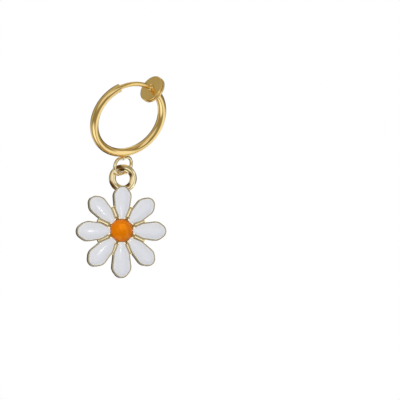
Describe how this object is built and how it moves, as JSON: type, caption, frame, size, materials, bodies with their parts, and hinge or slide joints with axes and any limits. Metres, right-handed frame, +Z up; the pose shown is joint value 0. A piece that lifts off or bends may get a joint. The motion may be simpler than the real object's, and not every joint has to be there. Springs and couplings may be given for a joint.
{
  "type": "clip-on hoop earring with daisy pendant",
  "caption": "Clip-on earring: spring hoop closing on a pair of round clip discs, with an enamelled daisy pendant hanging from a soldered loop.",
  "frame": {"origin": "point between the two clip discs on the wire's centre line, where the ear lobe is held", "axes": "+Z up as the earring hangs, the daisy faces -Y, +X to its right as seen from the front"},
  "size_m": [0.0163, 0.0105, 0.0361],
  "materials": {
    "gold_hoop": "polished yellow gold plate on a brass tube and disc",
    "gold_wire": "polished yellow gold plate on drawn wire, fine draw lines",
    "gold_cast": "polished light gold plate on a cast frame, softly rounded edges",
    "white_enamel": "glossy white enamel, slightly domed, poured into the gold cells",
    "orange_enamel": "glossy orange enamel dome"
  },
  "bodies": {
    "hoop": {"hoop": "gold_hoop"},
    "arm": {"spring_arm": "gold_wire"},
    "pendant": {"daisy_frame": "gold_cast", "enamel_petal_1": "white_enamel", "enamel_petal_2": "white_enamel", "enamel_petal_3": "white_enamel", "enamel_petal_4": "white_enamel", "enamel_petal_5": "white_enamel", "enamel_petal_6": "white_enamel", "enamel_petal_7": "white_enamel", "enamel_petal_8": "white_enamel", "enamel_centre": "orange_enamel"}
  },
  "joints": [
    {"name": "arm_slide", "type": "hinge", "parent": "hoop", "child": "arm", "pos_m": [-0.00433, 0.00035, -0.00517], "axis": [0.4513, -0.7817, -0.4305], "range_deg": [0, 38], "stiffness_Nm_per_rad": 0.01, "springref_deg": -20.05},
    {"name": "daisy_swing", "type": "hinge", "parent": "hoop", "child": "pendant", "pos_m": [-0.00534, 0.00391, -0.015], "axis": [0.5995, 0.7865, 0.1487], "range_deg": [-40, 40]}
  ]
}
